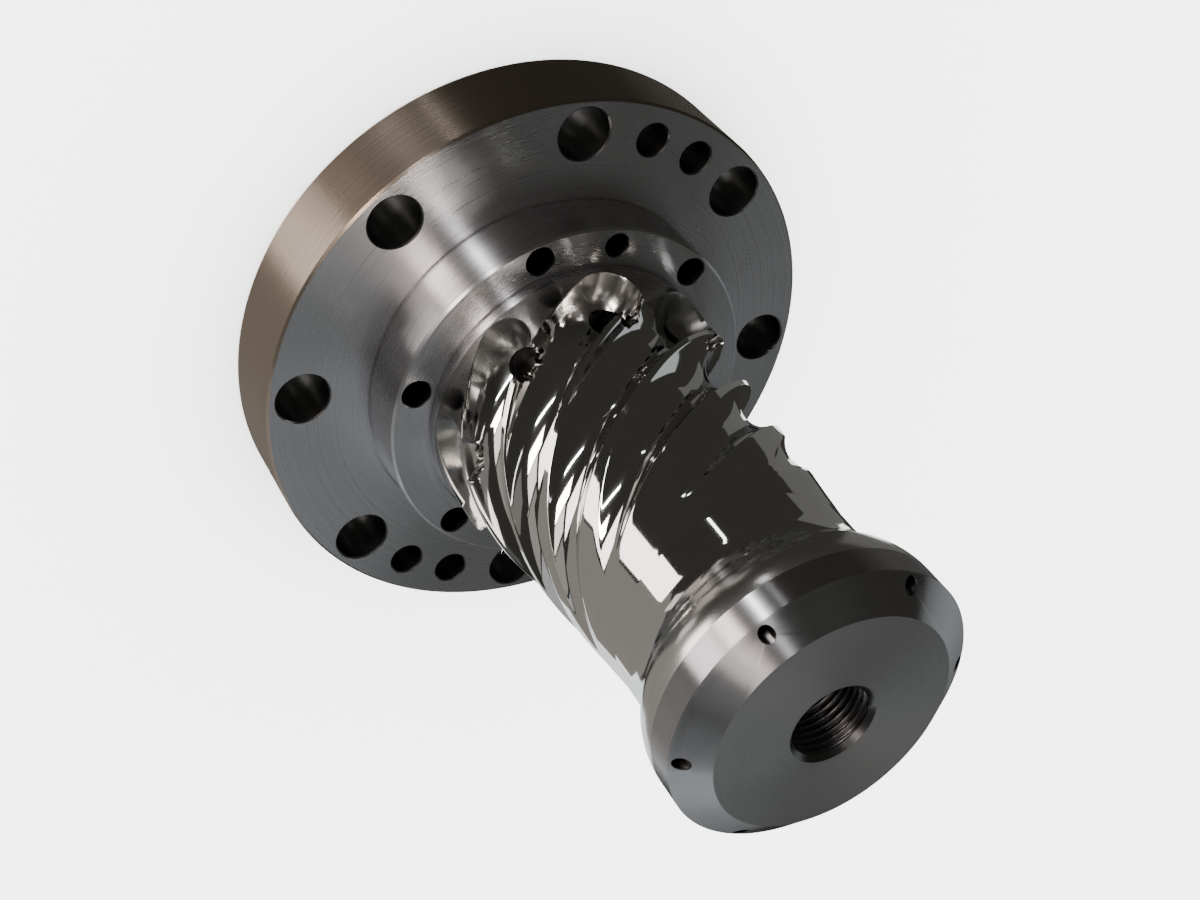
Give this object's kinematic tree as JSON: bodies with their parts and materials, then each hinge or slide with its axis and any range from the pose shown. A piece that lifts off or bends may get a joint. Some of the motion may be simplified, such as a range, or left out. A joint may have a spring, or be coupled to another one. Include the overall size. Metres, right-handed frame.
{
  "type": "spiral mandrel",
  "caption": "Polished steel mandrel of an annular extrusion die, with spiral melt channels, a flared collar and a drilled mounting flange with a stepped boss.",
  "frame": {"origin": "centre of the flange's back face, which the part stands on", "axes": "+Z along the mandrel's axis from the flange to the free end; +X through a bolt hole of the flange"},
  "size_m": [0.25, 0.25, 0.27],
  "materials": {
    "steel": "polished"
  },
  "bodies": {
    "root": {"spiral_mandrel": "steel"}
  },
  "joints": []
}
